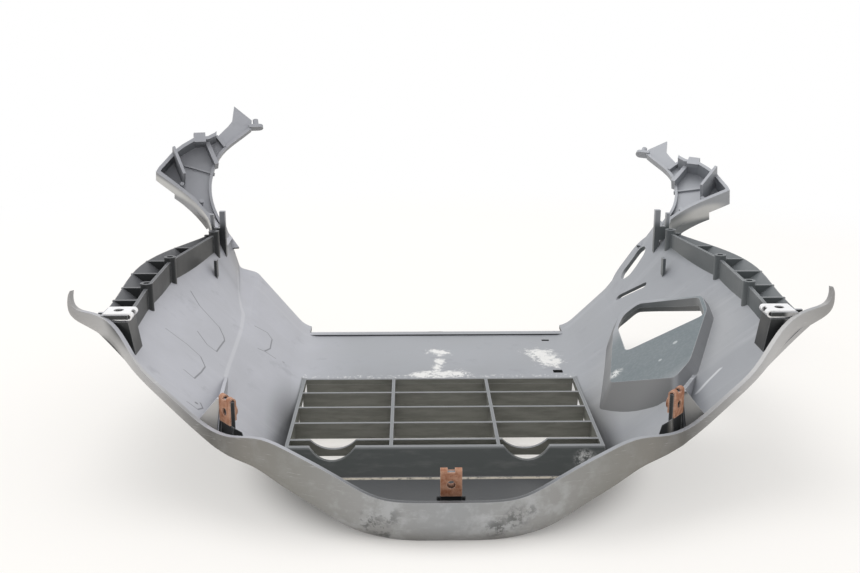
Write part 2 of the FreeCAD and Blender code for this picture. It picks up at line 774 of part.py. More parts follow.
def make_panel():
    tub = make_tub()
    room = make_room()
    grille, window = make_grille()
    tub = tub.cut(window.common(box(-200, 200, -40, 200, -5, 25)))
    inside = []
    holes = []
    for side in (-1, 1):
        solids, rack_holes = make_rack(side)
        inside += solids + [make_side_post(side), make_fork(side)]
        holes += rack_holes
    inside += [make_tongue(*row) for row in tongues]
    inside.append(pod_block(0, 0))
    trimmed = inside[0].multiFuse(inside[1:]).common(room)
    limbs = [make(side) for side in (-1, 1) for make in (make_neck, make_arm)]
    panel = tub.multiFuse([make_lip(), make_back_flange(), grille, trimmed, make_rear_lobe()] + limbs)
    panel = panel.cut(pod_block(wall, wall * 1.24).fuse(vent_prism()))
    holes.append(slot_cutter(oval_near, oval_far, oval_width, oval_direction, 2 * through))
    holes.append(slot_cutter(slit_near, slit_far, slit_width, slit_direction, 2 * through))
    for x, y, long, wide in floor_holes:
        holes.append(box(x - long / 2, x + long / 2, y - wide / 2, y + wide / 2, 0, grille_top + 2 * wall))
    return panel.cut(Part.makeCompound(holes))


panel = make_panel()
front_clips = Part.makeCompound([make_front_clip(*row) for row in tongues])
side_clips = Part.makeCompound([make_side_clip(side) for side in (-1, 1)])

whole = Part.makeCompound([panel, front_clips, side_clips]).optimalBoundingBox(False, False)
shift = Vector(-(whole.XMin + whole.XMax) / 2, -(whole.YMin + whole.YMax) / 2, -whole.ZMin)
print("shift", shift)
print("solids", len(panel.Solids), "valid", panel.isValid(), "volume", panel.Volume)
for name, shape in (("lower_panel", panel), ("front_clip_nuts", front_clips), ("side_clip_nuts", side_clips)):
    moved = shape.copy()
    moved.translate(shift)
    moved.exportStep("parts/" + name + ".step")
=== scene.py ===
import bpy
import math
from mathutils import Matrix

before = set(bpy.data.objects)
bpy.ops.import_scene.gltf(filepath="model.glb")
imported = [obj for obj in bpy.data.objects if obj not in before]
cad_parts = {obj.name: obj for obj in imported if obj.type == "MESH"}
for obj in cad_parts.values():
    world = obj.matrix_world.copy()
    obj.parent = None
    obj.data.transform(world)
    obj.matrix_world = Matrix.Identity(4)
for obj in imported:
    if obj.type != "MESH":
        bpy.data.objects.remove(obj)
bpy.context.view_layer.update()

# Lengths are in metres in the part's frame, and colours are linear.
# A named range is (from, to) or (from, to, value at from, value at to), as span takes it.
# A named noise is (scale, detail, roughness), and a stretch is its scale along x, y and z.

# How much of a patch's radius or a path's width is at full strength, where nothing else is said.
PATCH_CORE = 0.3
PATH_CORE = 0.4

# Camera of the photograph, with angles in degrees and the sensor in millimetres.
IMAGE_WIDTH = 860
FOCAL_PIXELS = 1100
SENSOR = 36
CAMERA_PLACE = (-0.0281, -0.7536, 0.2854)
CAMERA_PITCH = 14.87
CAMERA_YAW = 0.99

# Middle of the panel, and the cloudy noise that varies its dust and its gloss.
MIDDLE_X = -0.0081
CLOUD_NOISE = (24, 6, 0.6)
CLOUD_DUST = (0.3, 0.7, 0.86, 1.0)
CLOUD_ROUGHNESS = (0.3, 0.7, 0.36, 0.5)
GRAIN_NOISE = (420, 3, 0.5)
GRAIN_STRENGTH = 0.1
GRAIN_DEPTH = 0.0004

# Dust and painted sheen on faces that look up, where flat and steep are ranges of the normal's z.
FLAT = (0.22, 0.62)
STEEP = (0.0, 0.55)
STEEP_DUST_SHEEN_Y = (0.03, 0.09)
DUST_SHEEN_SIDE_X = (-0.06, -0.14)
# Tones of the dust and painted sheen on the right and on the paler left.
DUST_SHEEN_RIGHT = (0.32, 0.332, 0.357)
DUST_SHEEN_LEFT = (0.455, 0.46, 0.50)
BARE_PLASTIC = (0.024, 0.026, 0.027)
BARE_RIGHT_RACK = (0.100, 0.112, 0.117)
RIGHT_RACK_X = (0.10, 0.14)
RIGHT_RACK_Y = (-0.105, -0.09)

# Pale streaks down the walls and dark stains in the dust.
STREAK_NOISE = (1, 5, 0.6)
STREAK_STRETCH = (4, 70, 4)
STREAK_LEVEL = (0.52, 0.75, 0, 0.22)
STREAK_TILT = (0.2, 0.5)
STREAK_COLOUR = (0.62, 0.625, 0.65)
STAIN_NOISE = (46, 5, 0.65)
STAIN_LEVEL = (0.56, 0.74, 0, 0.30)
STAIN_COLOUR = (0.20, 0.20, 0.225)

# Where the dust and painted sheen are taken away: painted shade on the low front floor, on both sides of the
# grille and behind the rib racks, and darker steep faces at the side posts.
LOW_FRONT_Y = (-0.055, -0.150)
LOW_FRONT_Z = (0.036, 0.008)
LOW_FRONT_SHADE = 0.52
GRILLE_SIDE = (0.119, 0.099)
GRILLE_SIDE_Y = (-0.010, -0.075)
GRILLE_SIDE_Z = (0.046, 0.022, 0.0, 0.9)
RACK_Z = (0.090, 0.096, 0.0, 0.8)
RACK_BACK_Y = (0.095, 0.080)
RACK_FRONT_Y = (-0.116, -0.104)
POSTS = [(-0.190, -0.127, 0.085), (0.190, -0.127, 0.085)]
POST_REACH = 0.032
POST_CORE = 0.9
POST_TILT = (0.6, 0.4)

# Curve of the near lip: y = LIP_FRONT + LIP_BOW * ((x - MIDDLE_X) / LIP_REACH) ** 2.
LIP_FRONT = -0.2146
LIP_BOW = 0.080
LIP_REACH = 0.2075
LIP_DEPTH = (0.006, 0.003)
LIP_TILT = (-0.1, -0.3)

# Colours of the lip's outer face by distance from the middle.
LIP_TONES = [
    (0.000, (0.34, 0.35, 0.36)),
    (0.050, (0.33, 0.33, 0.325)),
    (0.085, (0.26, 0.256, 0.238)),
    (0.112, (0.225, 0.215, 0.195)),
    (0.132, (0.125, 0.121, 0.112)),
    (0.165, (0.42, 0.415, 0.415)),
    (0.190, (0.52, 0.515, 0.51)),
    (0.215, (0.40, 0.395, 0.39)),
    (0.240, (0.24, 0.235, 0.23)),
]
LIP_TONE_END = 0.25

# Wear of the lip: pale mottle in the middle and pale scratches, and a brown painted shade along its foot.
MOTTLE_NOISE = (70, 6, 0.65)
MOTTLE_LEVEL = (0.46, 0.66)
MOTTLE_REACH = (0.085, 0.045, 0.08, 0.40)
MOTTLE_COLOUR = (0.60, 0.62, 0.64)
LIP_FOOT_Z = (0.012, 0.0, 0, 0.35)
LIP_FOOT_SHADE_COLOUR = (0.20, 0.18, 0.155)
LIP_SCRATCH_NOISE = (6, 6, 0.65)
LIP_SCRATCH_STRETCH = (14, 14, 220)
LIP_SCRATCH_LEVEL = (0.60, 0.74, 0, 0.5)
LIP_SCRATCH_COLOUR = (0.64, 0.645, 0.65)

# Dark stains on the lip: place and radius.
LIP_STAINS = [
    ((-0.050, -0.212, 0.012), 0.011),
    ((-0.040, -0.214, 0.017), 0.010),
    ((-0.044, -0.213, 0.006), 0.009),
    ((0.017, -0.215, 0.010), 0.011),
    ((0.026, -0.214, 0.015), 0.011),
    ((0.034, -0.212, 0.019), 0.009),
]
LIP_STAIN_NOISE = (190, 6, 0.72)
LIP_STAIN_LEVEL = (0.46, 0.58)
LIP_STAIN_STRENGTH = 0.8
LIP_STAIN_COLOUR = (0.085, 0.09, 0.088)

# Moulding lines on the left wall, as seen from the side: (y, z) points of each line.
LEFT_LINES = [
    [(-0.0741, 0.0777), (-0.0741, 0.0669), (-0.0771, 0.0597), (-0.0861, 0.0559), (-0.0976, 0.0561),
     (-0.1121, 0.0573), (-0.1106, 0.0624)],
    [(0.0049, 0.0814), (-0.0061, 0.0734), (-0.0156, 0.0606), (-0.0246, 0.0566), (-0.0296, 0.0553),
     (-0.0541, 0.0554), (-0.0541, 0.0603), (-0.0451, 0.0669)],
    [(0.0289, 0.0479), (0.0339, 0.0412), (0.0289, 0.0375), (0.0109, 0.0362), (-0.0001, 0.0378),
     (-0.0031, 0.0408)],
    [(-0.0001, 0.0378), (0.0009, 0.0320)],
    [(-0.1496, 0.0563), (-0.1506, 0.0518), (-0.1441, 0.0501), (-0.1391, 0.0515)],
]
LEFT_LINE_WIDTH = 0.0005

# Small dark dots on the left wall: place and radius. The lines share their strength and colour.
LEFT_DOTS = [
    ((-0.155, -0.1431, 0.053), 0.0016),
    ((-0.176, 0.055, 0.079), 0.0014),
    ((-0.121, 0.004, 0.028), 0.0014),
]
DOT_CORE = 0.6
LEFT_MARK_STRENGTH = 0.62
LEFT_MARK_COLOUR = (0.05, 0.05, 0.055)

# Painted highlight along the ridge of the left crease, and a scratch on the right wall, as (y, z) points.
CREASE_LINE = [(0.1034, 0.0714), (0.0369, 0.0549), (0.0049, 0.0518), (-0.0411, 0.0489), (-0.0796, 0.0465)]
CREASE_WIDTH = 0.0013
CREASE_HIGHLIGHT_STRENGTH = 0.24
CREASE_HIGHLIGHT_COLOUR = (0.70, 0.70, 0.72)
RIGHT_SCRATCH = [(-0.1331, 0.0536), (-0.1271, 0.0590), (-0.1221, 0.0649)]
RIGHT_SCRATCH_WIDTH = 0.0014
RIGHT_SCRATCH_STRENGTH = 0.7
RIGHT_SCRATCH_COLOUR = (0.66, 0.67, 0.69)
MARK_TILT = (0.1, 0.3)
LEFT_WALL_X = (-0.115, -0.125)
RIGHT_WALL_X = (0.115, 0.125)

# Whitish scuffs on the floor behind the grille: (x, y, z) points of each path, and its reach.
FLOOR_SCUFFS = [
    ([(-0.0105, 0.056, 0.0185), (-0.0045, 0.052, 0.0185)], 0.014),
    ([(-0.0070, 0.036, 0.0185), (-0.0095, 0.012, 0.0185)], 0.008),
    ([(-0.0230, 0.003, 0.0185), (0.0070, 0.005, 0.0185)], 0.014),
    ([(0.0700, 0.053, 0.0185), (0.0755, 0.028, 0.0185)], 0.022),
]
SCUFF_CORE = 0.0
SCUFF_NOISE = (170, 8, 0.85)
SCUFF_WEIGHT = 0.24
SCUFF_LEVEL = (0.62, 0.72)
SCUFF_EDGE = (0.0, 0.15)
SCUFF_TILT = (0.5, 0.8)
SCUFF_COLOUR = (0.74, 0.735, 0.72)

# Grille, its front plate and the plate's foot: lowest and highest corners.
GRILLE_BOX = ((-0.1075, -0.1312, -0.001), (0.0912, -0.0036, 0.0196))
PLATE_BOX = ((-0.1075, -0.1432, 0.0046), (0.0912, -0.1292, 0.0176))
PLATE_FOOT_BOX = ((-0.1075, -0.1440, 0.0030), (0.0912, -0.1412, 0.0044))
GRILLE_BACK_BOX = ((-0.1075, -0.0042, 0.0160), (0.0912, 0.0030, 0.0196))
BOX_SOFT = 0.0006
PLATE_FOOT_SOFT = 0.0003

# Olive smears on the slats and the plate, and grey rib tops.
SMEAR_NOISE = (4, 5, 0.65)
SMEAR_STRETCH = (12, 40, 60)
SLAT_SMEAR = (0.35, 0.65)
SLAT_DARK = (0.140, 0.142, 0.124)
SLAT_PALE = (0.190, 0.192, 0.170)
RIB_TOP_TILT = (0.3, 0.7)
RIB_TOP_COLOUR = (0.185, 0.195, 0.205)
PLATE_SMEAR = (0.45, 0.75)
PLATE_DARK = (0.052, 0.059, 0.058)
PLATE_PALE = (0.085, 0.090, 0.088)

# Fine pale marks on the grille: a worn scuff on the plate and flakes at the grille's back, and a tan line at
# the plate's foot that is painted light from the gap under it.
FLAKE_NOISE = (420, 6, 0.75)
PLATE_SCUFF = (0.0775, -0.1360, 0.0120)
PLATE_SCUFF_RADIUS = 0.009
PLATE_SCUFF_LEVEL = (0.42, 0.60)
PLATE_SCUFF_COLOUR = (0.55, 0.55, 0.54)
PLATE_FOOT_LEVEL = (0.35, 0.5)
PLATE_FOOT_LIGHT_COLOUR = (0.46, 0.42, 0.35)
FLAKE_LEVEL = (0.54, 0.62)
FLAKE_STRENGTH = 0.8
FLAKE_COLOUR = (0.72, 0.72, 0.70)

# Vent pod on the right wall: middle, radius, and the plane z = POD_SLOPE * x + POD_RISE of its plate.
POD_MIDDLE = (0.135, -0.055, 0.055)
POD_RADIUS = 0.075
POD_CORE = 0.6
POD_SLOPE = 0.73
POD_RISE = -0.0404
POD_PLATE_GAP = (0.0012, 0.0006)
POD_PLATE_TILT = (0.6, 0.75)
POD_NOISE = (460, 4, 0.6)
POD_PLATE_LEVEL = (0.4, 0.7)
POD_PLATE_DARK = (0.124, 0.154, 0.169)
POD_PLATE_PALE = (0.158, 0.188, 0.202)

# Painted shade on the pod's near and outer flares, painted light on its pale inner side, a white chip, and
# two pips.
FLARE_NEAR_TILT = (0.05, -0.25)
FLARE_OUTER_TILT = (0.15, 0.35)
FLARE_TOP_TILT = (0.92, 0.80)
FLARE_SHADE_STRENGTH = 0.42
FLARE_SHADE_COLOUR = (0.120, 0.118, 0.113)
POD_INNER_TILT = (-0.3, -0.7)
POD_INNER_LIGHT_STRENGTH = 0.25
POD_INNER_LIGHT_COLOUR = (0.58, 0.58, 0.58)
POD_CHIP = ((0.1088, -0.0560, 0.0390), 0.007)
POD_CHIP_LEVEL = (0.40, 0.52)
POD_CHIP_COLOUR = (0.66, 0.67, 0.66)
POD_PIPS = [((0.1442, -0.0692, 0.0652), 0.0022), ((0.1326, -0.0796, 0.0565), 0.0016)]
POD_PIP_COLOUR = (0.40, 0.43, 0.44)

# Webs beside the outer front clips, paled by painted light: place, radius and colour.
WEB_LIGHTS = [
    ((-0.1441, -0.169, 0.0504), 0.019, (0.60, 0.595, 0.58)),
    ((0.1340, -0.166, 0.0520), 0.019, (0.33, 0.33, 0.325)),
]
WEB_CORE = 0.85
WEB_TILT = (0.72, 0.9)

# Ribs that run back from those webs into the creases, with painted light on their sides: (x, y, z) points.
BACK_RIBS = [
    [(-0.136, -0.168, 0.060), (-0.148, -0.080, 0.048)],
    [(0.127, -0.165, 0.060), (0.148, -0.110, 0.056)],
]
BACK_RIB_REACH = 0.018
BACK_RIB_TILT = (0.85, 0.95)
BACK_RIB_LIGHT_COLOUR = (0.36, 0.365, 0.39)

# Arms: where they begin, and the painted reflection of the table along each lower edge as (x, y, z) points.
ARM_BOX = ((-0.30, 0.082, 0.112), (0.30, 0.35, 0.30))
ARM_SOFT = 0.004
ARM_SIDE_X = (-0.1, 0.1)
ARM_STRENGTH = 0.6
ARM_LEFT = (0.31, 0.32, 0.345)
ARM_RIGHT = (0.42, 0.435, 0.47)
ARM_BANDS = [
    [(-0.1896, 0.1104, 0.1067), (-0.211, 0.1224, 0.1216), (-0.2323, 0.1364, 0.138)],
    [(0.1862, 0.1154, 0.0994), (0.2134, 0.1354, 0.111), (0.2369, 0.1564, 0.1206)],
]
ARM_BAND_REACH = 0.010
ARM_BAND_NEAR_TILT = (-0.15, -0.4)
ARM_BAND_UP_TILT = (0.45, 0.25)
ARM_BAND_REFLECTION_STRENGTH = 0.75
ARM_BAND_REFLECTION_COLOUR = (0.60, 0.60, 0.585)

# Pale edges, partly worn and partly a painted highlight, stronger near the pod where the highlight along its
# rim is painted. EDGE_RANGE is how alike the plain and the rounded normal are.
EDGE_RADIUS = 0.0009
EDGE_RANGE = (0.985, 0.90)
EDGE_WEAR_AND_HIGHLIGHT = (0, 1, 0.35, 0.70)
EDGE_COLOUR = (0.50, 0.51, 0.53)
EDGE_SAMPLES = 4

# Rusty spring steel of the front clips, with a painted highlight along their edges.
RUST_NOISE = (260, 6, 0.65)
RUST_LEVEL = (0.35, 0.65)
RUST_ROUGHNESS = (0.3, 0.7, 0.6, 0.85)
RUST_DARK = (0.32, 0.125, 0.06)
RUST_PALE = (0.50, 0.275, 0.18)
PIT_NOISE = (1500, 3, 0.6)
PIT_LEVEL = (0.55, 0.72, 0, 0.55)
PIT_COLOUR = (0.16, 0.055, 0.03)
PIT_STRENGTH = 0.4
PIT_DEPTH = 0.0003
RUST_EDGE_RADIUS = 0.0007
RUST_EDGE_RANGE = (0.985, 0.88, 0, 0.5)
RUST_EDGE_HIGHLIGHT_COLOUR = (0.74, 0.58, 0.49)

# Bright plated steel of the side clips.
PLATING_NOISE = (220, 5, 0.6)
PLATING_LEVEL = (0.55, 0.8, 0, 0.4)
PLATING_ROUGHNESS = (0.3, 0.7, 0.28, 0.45)
PLATING_BRIGHT = (0.90, 0.90, 0.91)
PLATING_STAIN = (0.52, 0.51, 0.49)
PLATING_METALLIC = 0.7
BRUSH_NOISE = (6, 3, 0.5)
BRUSH_STRETCH = (40, 400, 400)
BRUSH_STRENGTH = 0.1
BRUSH_DEPTH = 0.0002

# Table top: colours, and how far from the object it turns to plain white.
TABLE_REACH = 6.0
TABLE_NOISE = (3, 3, 0.5)
TABLE_DARK = (0.905, 0.875, 0.835)
TABLE_PALE = (0.925, 0.90, 0.87)
TABLE_ROUGHNESS = 0.6
# The glow is warmer near the object, a painted warm tint of its shade.
TINT_NEAR = (1, 0.985, 0.96)
TINT_FAR = (1, 1, 1)
TINT_RANGE = (0.24, 0.95)
WHITE_RANGE = (0.40, 0.95)

# Under the grille the table keeps its whole shadow; around it a painted glow of its own white lifts part of
# the shadow.
GRILLE_MIDDLE = (-0.0081, -0.105, 0)
SHADE_RANGE = (0.09, 0.135, 0.0, 0.55)

# Places of a Mix node's two colour inputs and of its colour output.
MIX_INPUTS = (6, 7)
MIX_OUTPUT = 2

# Soft studio: the sky's strength by direction along y, and one lamp.
SKY_STRENGTH = (-0.7, 0.5, 0.72, 0.95)
LAMP_PLACE = (-0.35, 0.35, 1.9)
LAMP_TARGET = (0, 0, 0.05)
LAMP_SIZE = 1.5
LAMP_POWER = 14


def add(tree, kind, settings=None, **inputs):
    """New node with its settings, and inputs set to values or linked to sockets. i0 is the first input."""
    node = tree.nodes.new("ShaderNode" + kind)
    for name, value in (settings or {}).items():
        setattr(node, name, value)
    for name, value in inputs.items():
        socket = node.inputs[int(name[1:]) if name[1:].isdigit() else name]
        if isinstance(value, bpy.types.NodeSocket):
            tree.links.new(value, socket)
        else:
            socket.default_value = value
    return node


def math_node(tree, operation, a, b=0.0):
    return add(tree, "Math", {"operation": operation}, i0=a, i1=b).outputs[0]


def times(tree, *factors):
    """Product of masks and numbers."""
    product = factors[0]
    for factor in factors[1:]:
        product = math_node(tree, "MULTIPLY", product, factor)
    return product


def most(tree, masks):
    """Largest of several masks."""
    largest = masks[0]
    for mask in masks[1:]:
        largest = math_node(tree, "MAXIMUM", largest, mask)
    return largest


def vector_node(tree, operation, a, b):
    return add(tree, "VectorMath", {"operation": operation}, i0=a, i1=b)


def noise(tree, place, scale, detail, roughness):
    return add(tree, "TexNoise", Vector=place, Scale=scale, Detail=detail, Roughness=roughness).outputs[0]


def stretched(tree, place, scale):
    return add(tree, "Mapping", Vector=place, Scale=scale).outputs[0]


def span(tree, value, low, high, to_low=0.0, to_high=1.0):
    """Value mapped smoothly from one range to another. The smooth step holds its own ends."""
    node = add(tree, "MapRange", {"interpolation_type": "SMOOTHSTEP", "clamp": False}, Value=value)
    for name, number in (("From Min", low), ("From Max", high), ("To Min", to_low), ("To Max", to_high)):
        node.inputs[name].default_value = number
    return node.outputs[0]


def mix(tree, share, a, b):
    """Blend of two colours, each given as numbers or as a socket."""
    node = add(tree, "Mix", {"data_type": "RGBA"}, i0=share)
    for index, value in zip(MIX_INPUTS, (a, b)):
        if isinstance(value, bpy.types.NodeSocket):
            tree.links.new(value, node.inputs[index])
        else:
            node.inputs[index].default_value = (*value, 1)
    return node.outputs[MIX_OUTPUT]


def ramp(tree, value, tones, end):
    """Colour that follows a value through a list of (value, colour) tones."""
    node = add(tree, "ValToRGB", Fac=math_node(tree, "DIVIDE", value, end))
    stops = node.color_ramp.elements
    while len(stops) < len(tones):
        stops.new(1.0)
    for stop, (at, colour) in zip(stops, tones):
        stop.position = at / end
        stop.color = (*colour, 1)
    return node.outputs[0]


def new_material(name):
    """Material with a principled shader and an output."""
    material = bpy.data.materials.new(name)
    material.use_nodes = True
    tree = material.node_tree
    tree.nodes.clear()
    shader = add(tree, "BsdfPrincipled")
    output = add(tree, "OutputMaterial")
    tree.links.new(shader.outputs[0], output.inputs[0])
    return material, tree, shader


def roughen(tree, shader, height, strength, depth):
    """Fine bumps on a shader's surface."""
    bump = add(tree, "Bump", Height=height, Strength=strength, Distance=depth)
    tree.links.new(bump.outputs[0], shader.inputs["Normal"])


class Surface:
    """Sockets that the plastic's masks read: place, normal, their parts and a cloudy noise."""

    def __init__(self, tree):
        self.tree = tree
        self.place = add(tree, "TexCoord").outputs["Object"]
        self.x, self.y, self.z = add(tree, "SeparateXYZ", Vector=self.place).outputs
        self.normal = add(tree, "NewGeometry").outputs["Normal"]
        self.normal_x, self.normal_y, self.normal_z = add(tree, "SeparateXYZ", Vector=self.normal).outputs
        self.cloud = noise(tree, self.place, *CLOUD_NOISE)
        self.from_middle = math_node(tree, "ABSOLUTE", math_node(tree, "SUBTRACT", self.x, MIDDLE_X))


def near_point(surface, point, radius, core=PATCH_CORE):
    """One round a point, falling to zero at a radius."""
    distance = vector_node(surface.tree, "DISTANCE", surface.place, point).outputs["Value"]
    return span(surface.tree, distance, radius, radius * core)


def patches(surface, points, core=PATCH_CORE):
    """Soft patches round a list of points with radii."""
    return most(surface.tree, [near_point(surface, point, radius, core) for point, radius in points])


def box_mask(surface, box, soft=BOX_SOFT):
    """One inside a box with soft faces."""
    tree = surface.tree
    middle = [(low + high) / 2 for low, high in zip(*box)]
    half = [(high - low) / 2 for low, high in zip(*box)]
    offset = vector_node(tree, "SUBTRACT", surface.place, middle).outputs[0]
    apart = add(tree, "VectorMath", {"operation": "ABSOLUTE"}, i0=offset).outputs[0]
    outside = vector_node(tree, "SUBTRACT", apart, half).outputs[0]
    furthest = most(tree, list(add(tree, "SeparateXYZ", Vector=outside).outputs))
    return span(tree, furthest, soft, -soft)


def path_mask(tree, place, points, width, core=PATH_CORE):
    """One within a width of a path through points."""
    distances = []
    for start, end in zip(points, points[1:]):
        run = tuple(b - a for a, b in zip(start, end))
        square = sum(step ** 2 for step in run)
        offset = vector_node(tree, "SUBTRACT", place, start).outputs[0]
        along = vector_node(tree, "DOT_PRODUCT", offset, run).outputs["Value"]
        share = add(tree, "Clamp", Value=math_node(tree, "DIVIDE", along, square)).outputs[0]
        foot = add(tree, "VectorMath", {"operation": "SCALE"}, i0=run, Scale=share).outputs[0]
        distances.append(vector_node(tree, "DISTANCE", offset, foot).outputs["Value"])
    nearest = distances[0]
    for distance in distances[1:]:
        nearest = math_node(tree, "MINIMUM", nearest, distance)
    return span(tree, nearest, width, width * core)


def line_mask(surface, points, width):
    """One within a narrow width of a line through (y, z) points, seen from the side."""
    flat = vector_node(surface.tree, "MULTIPLY", surface.place, (0, 1, 1)).outputs[0]
    return path_mask(surface.tree, flat, [(0, y, z) for y, z in points], width)


def edge_mask(tree, normal, radius, edges):
    """Mask along sharp edges, where the rounded normal departs from the plain one."""
    rounded = add(tree, "Bevel", {"samples": EDGE_SAMPLES}, Radius=radius).outputs[0]
    alike = vector_node(tree, "DOT_PRODUCT", rounded, normal).outputs["Value"]
    return span(tree, alike, *edges)


def thin_dust_and_shade(surface):
    """How much of the dusting and painted sheen is taken away: painted shade on the low front floor, beside
    the grille and behind the racks, and darker steep faces at the posts.
    """
    tree = surface.tree
    # Painted shade on the low front floor between the grille and the lip.
    low_front = times(tree, span(tree, surface.y, *LOW_FRONT_Y), span(tree, surface.z, *LOW_FRONT_Z))
    # The steep faces at the side posts are left darker.
    on_post = times(
        tree,
        most(tree, [near_point(surface, point, POST_REACH, POST_CORE) for point in POSTS]),
        span(tree, surface.normal_z, *POST_TILT),
    )
    # Painted shade in the troughs beside the grille.
    beside_grille = times(
        tree,
        span(tree, surface.from_middle, *GRILLE_SIDE),
        span(tree, surface.y, *GRILLE_SIDE_Y),
        span(tree, surface.z, *GRILLE_SIDE_Z),
    )
    # Painted shade behind the rib racks.
    behind_rack = times(
        tree,
        span(tree, surface.z, *RACK_Z),
        span(tree, surface.y, *RACK_BACK_Y),
        span(tree, surface.y, *RACK_FRONT_Y),
    )
    return most(tree, [times(tree, low_front, LOW_FRONT_SHADE), beside_grille, behind_rack, on_post])


def dusty_sheened_plastic(surface):
    """Black plastic under a grey dusting and painted sheen on its upward faces, paler on the left wall, with
    pale streaks and dark stains.
    """
    tree = surface.tree
    steep = span(tree, surface.normal_z, *STEEP)
    flat = span(tree, surface.normal_z, *FLAT)
    facing_up = most(tree, [flat, times(tree, steep, span(tree, surface.y, *STEEP_DUST_SHEEN_Y))])
    thick = span(tree, surface.cloud, *CLOUD_DUST)
    dust_and_sheen = times(tree, facing_up, thick, math_node(tree, "SUBTRACT", 1.0, thin_dust_and_shade(surface)))
    wall = mix(tree, span(tree, surface.x, *DUST_SHEEN_SIDE_X), DUST_SHEEN_RIGHT, DUST_SHEEN_LEFT)
    right_rack = times(tree, span(tree, surface.x, *RIGHT_RACK_X), span(tree, surface.y, *RIGHT_RACK_Y))
    base = mix(tree, right_rack, BARE_PLASTIC, BARE_RIGHT_RACK)
    # Upward faces get real dust and painted sheen together.
    colour = mix(tree, dust_and_sheen, base, wall)
    flow = noise(tree, stretched(tree, surface.place, STREAK_STRETCH), *STREAK_NOISE)
    on_wall = span(tree, math_node(tree, "ABSOLUTE", surface.normal_x), *STREAK_TILT)
    streaks = times(tree, span(tree, flow, *STREAK_LEVEL), dust_and_sheen, on_wall)
    colour = mix(tree, streaks, colour, STREAK_COLOUR)
    stain = noise(tree, surface.place, *STAIN_NOISE)
    return mix(tree, times(tree, span(tree, stain, *STAIN_LEVEL), dust_and_sheen), colour, STAIN_COLOUR)


def pod_colour(surface, colour):
    """Painted shade on two sides of the vent pod, painted light on its inner side, a teal-grey plate, a white
    chip and two pips.
    """
    tree = surface.tree
    near_pod = near_point(surface, POD_MIDDLE, POD_RADIUS, POD_CORE)
    # Painted shade on the pod's near and outer sides.
    turned_away = most(tree, [
        span(tree, surface.normal_y, *FLARE_NEAR_TILT),
        span(tree, surface.normal_x, *FLARE_OUTER_TILT),
    ])
    flare = times(tree, near_pod, turned_away, span(tree, surface.normal_z, *FLARE_TOP_TILT))
    colour = mix(tree, times(tree, flare, FLARE_SHADE_STRENGTH), colour, FLARE_SHADE_COLOUR)
    # Painted light on the pod's inner side.
    inner = times(tree, near_pod, span(tree, surface.normal_x, *POD_INNER_TILT))
    colour = mix(tree, times(tree, inner, POD_INNER_LIGHT_STRENGTH), colour, POD_INNER_LIGHT_COLOUR)
    plane = math_node(tree, "SUBTRACT", surface.z, times(tree, surface.x, POD_SLOPE))
    off_plane = math_node(tree, "ABSOLUTE", math_node(tree, "SUBTRACT", plane, POD_RISE))
    plate = times(
        tree,
        near_pod,
        span(tree, off_plane, *POD_PLATE_GAP),
        span(tree, surface.normal_z, *POD_PLATE_TILT),
    )
    speckled = noise(tree, surface.place, *POD_NOISE)
    teal = mix(tree, span(tree, speckled, *POD_PLATE_LEVEL), POD_PLATE_DARK, POD_PLATE_PALE)
    colour = mix(tree, plate, colour, teal)
    chip = times(tree, near_point(surface, *POD_CHIP), span(tree, speckled, *POD_CHIP_LEVEL))
    colour = mix(tree, chip, colour, POD_CHIP_COLOUR)
    return mix(tree, patches(surface, POD_PIPS, DOT_CORE), colour, POD_PIP_COLOUR)


def web_colour(surface, colour):
    """Painted light on the webs beside the outer front clips and on the sides of the ribs behind them."""
    tree = surface.tree
    # Painted light on the ribs' sides.
    ribs = most(tree, [path_mask(tree, surface.place, points, BACK_RIB_REACH) for points in BACK_RIBS])
    sideways = span(tree, math_node(tree, "ABSOLUTE", surface.normal_x), *BACK_RIB_TILT)
    colour = mix(tree, times(tree, ribs, sideways), colour, BACK_RIB_LIGHT_COLOUR)
    # Painted light on the webs.
    facing = span(tree, math_node(tree, "ABSOLUTE", surface.normal_y), *WEB_TILT)
    for point, radius, tone in WEB_LIGHTS:
        colour = mix(tree, times(tree, near_point(surface, point, radius, WEB_CORE), facing), colour, tone)
    return colour


def arm_colour(surface, colour):
    """Greyer arms with a painted reflection of the table along the lower edge of each."""
    tree = surface.tree
    on_arm = box_mask(surface, ARM_BOX, ARM_SOFT)
    tone = mix(tree, span(tree, surface.x, *ARM_SIDE_X), ARM_LEFT, ARM_RIGHT)
    colour = mix(tree, times(tree, on_arm, ARM_STRENGTH), colour, tone)
    # Painted reflection of the table on the lower edge's faces that turn toward the camera.
    bands = most(tree, [path_mask(tree, surface.place, points, ARM_BAND_REACH) for points in ARM_BANDS])
    facing = times(
        tree,
        span(tree, surface.normal_y, *ARM_BAND_NEAR_TILT),
        span(tree, surface.normal_z, *ARM_BAND_UP_TILT),
    )
    return mix(tree, times(tree, bands, facing, ARM_BAND_REFLECTION_STRENGTH), colour, ARM_BAND_REFLECTION_COLOUR)


